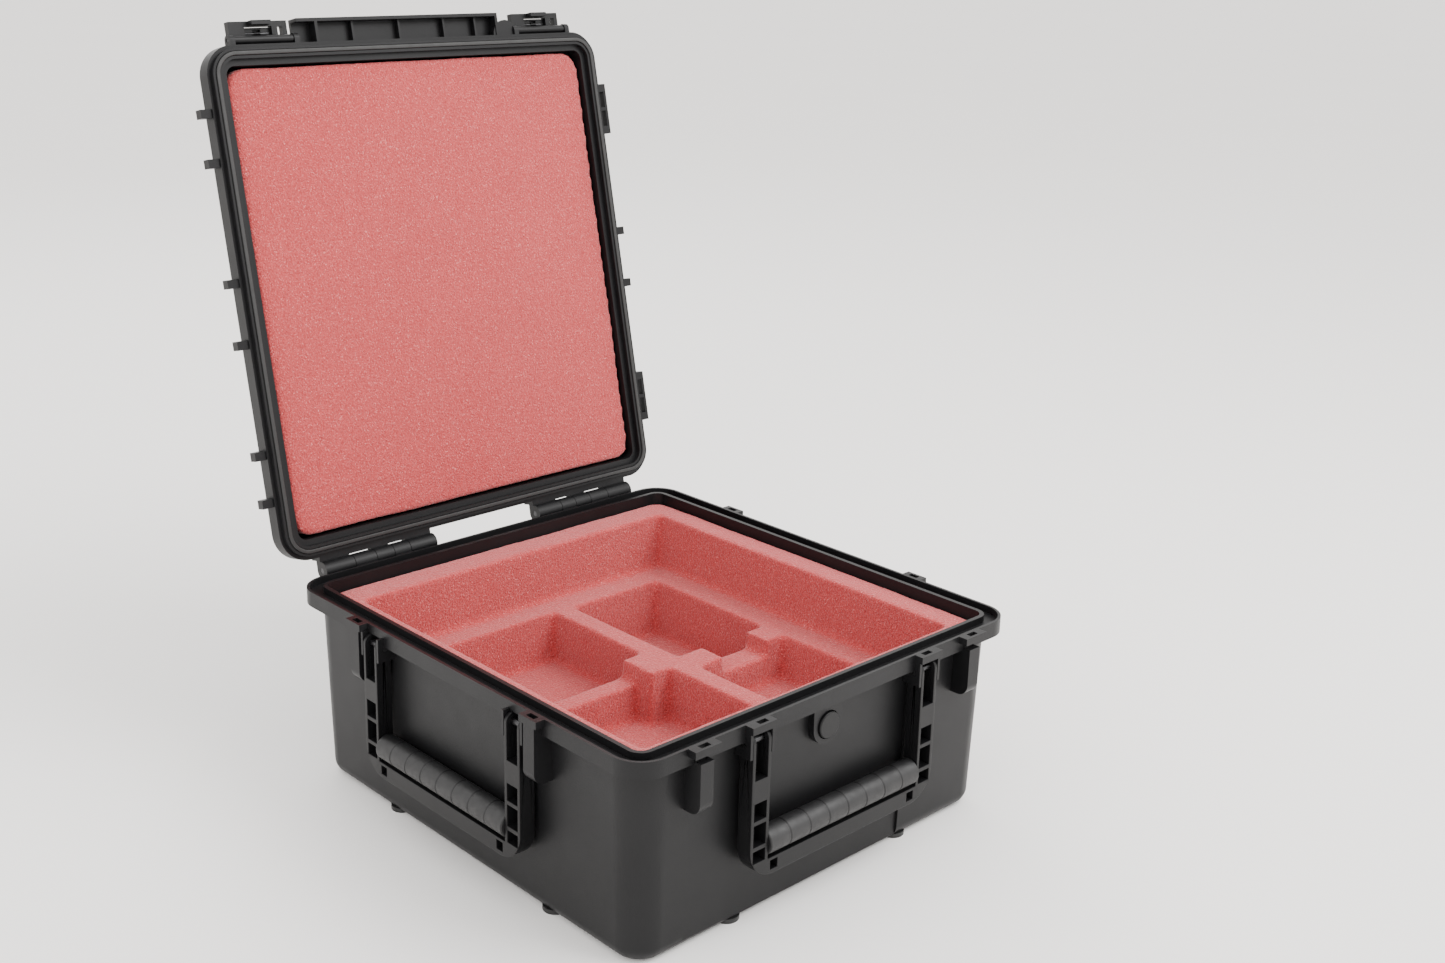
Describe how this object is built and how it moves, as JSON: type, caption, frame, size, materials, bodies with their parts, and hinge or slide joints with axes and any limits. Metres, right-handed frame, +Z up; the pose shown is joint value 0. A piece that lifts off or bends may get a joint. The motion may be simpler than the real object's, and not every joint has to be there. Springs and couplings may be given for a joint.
{
  "type": "utility case",
  "caption": "Square black moulded utility case shown open, with cut foam inside, swing-out carrying handles, front latches and a pressure valve.",
  "frame": {"origin": "centre of the base's footprint on the ground", "axes": "+Z up, the front with the pair of latches faces -Y, the hinge is at +Y, and +X runs to the right along the front"},
  "size_m": [0.519, 0.7106, 0.7516],
  "materials": {
    "shell": "fine moulded texture",
    "handle_polymer": "satin",
    "latch_polymer": "satin",
    "valve_polymer": "satin",
    "grip_rubber": "matte",
    "foot_rubber": "matte",
    "seal_rubber": "matte",
    "pin_steel": "satin",
    "membrane": "matte",
    "foam": "open-cell foam"
  },
  "bodies": {
    "base": {"base_shell": "shell", "edge_feet": "foot_rubber", "foam_bottom_pad": "foam", "foam_pocket_tray": "foam", "foam_upper_frame": "foam", "hinge_pin_left": "pin_steel", "hinge_pin_right": "pin_steel", "valve_body": "valve_polymer", "valve_seal_ring": "seal_rubber", "valve_membrane": "membrane", "valve_cap": "valve_polymer", "valve_nut": "valve_polymer", "handle_pins_front": "pin_steel", "handle_pins_left": "pin_steel", "handle_pins_right": "pin_steel"},
    "lid": {"lid_shell": "shell", "lid_seal": "seal_rubber", "foam_lid_slab": "foam", "latch_pin_left": "pin_steel", "latch_pin_right": "pin_steel"},
    "handle_front": {"handle_frame_front": "handle_polymer", "handle_grip_front": "grip_rubber"},
    "handle_left": {"handle_frame_left": "handle_polymer", "handle_grip_left": "grip_rubber"},
    "handle_right": {"handle_frame_right": "handle_polymer", "handle_grip_right": "grip_rubber"},
    "latch_left": {"latch_lever_left": "latch_polymer", "trigger_pin_left": "pin_steel", "trigger_spring_left": "pin_steel"},
    "trigger_left": {"latch_trigger_left": "latch_polymer"},
    "latch_right": {"latch_lever_right": "latch_polymer", "trigger_pin_right": "pin_steel", "trigger_spring_right": "pin_steel"},
    "trigger_right": {"latch_trigger_right": "latch_polymer"}
  },
  "joints": [
    {"name": "lid_hinge", "type": "hinge", "parent": "base", "child": "lid", "pos_m": [0, 0.277, 0.2015], "axis": [1, 0, 0], "range_deg": [0, 102.5]},
    {"name": "handle_front_swing", "type": "hinge", "parent": "base", "child": "handle_front", "pos_m": [0, -0.26125, 0.185], "axis": [-1, 0, 0], "range_deg": [0, 90]},
    {"name": "handle_left_swing", "type": "hinge", "parent": "base", "child": "handle_left", "pos_m": [-0.24625, 0, 0.185], "axis": [0, 1, 0], "range_deg": [0, 90]},
    {"name": "handle_right_swing", "type": "hinge", "parent": "base", "child": "handle_right", "pos_m": [0.24625, 0, 0.185], "axis": [0, -1, 0], "range_deg": [0, 90]},
    {"name": "latch_left_swing", "type": "hinge", "parent": "lid", "child": "latch_left", "pos_m": [-0.177, 0.40315, 0.73125], "axis": [1, 0, 0], "range_deg": [0, 90]},
    {"name": "trigger_left_press", "type": "hinge", "parent": "latch_left", "child": "trigger_left", "pos_m": [-0.177, 0.4158, 0.73613], "axis": [1, 0, 0], "range_deg": [0, 10], "stiffness_Nm_per_rad": 0.05, "springref_deg": -11.46},
    {"name": "latch_right_swing", "type": "hinge", "parent": "lid", "child": "latch_right", "pos_m": [0.177, 0.40315, 0.73125], "axis": [1, 0, 0], "range_deg": [0, 90]},
    {"name": "trigger_right_press", "type": "hinge", "parent": "latch_right", "child": "trigger_right", "pos_m": [0.177, 0.4158, 0.73613], "axis": [1, 0, 0], "range_deg": [0, 10], "stiffness_Nm_per_rad": 0.05, "springref_deg": -11.46}
  ]
}
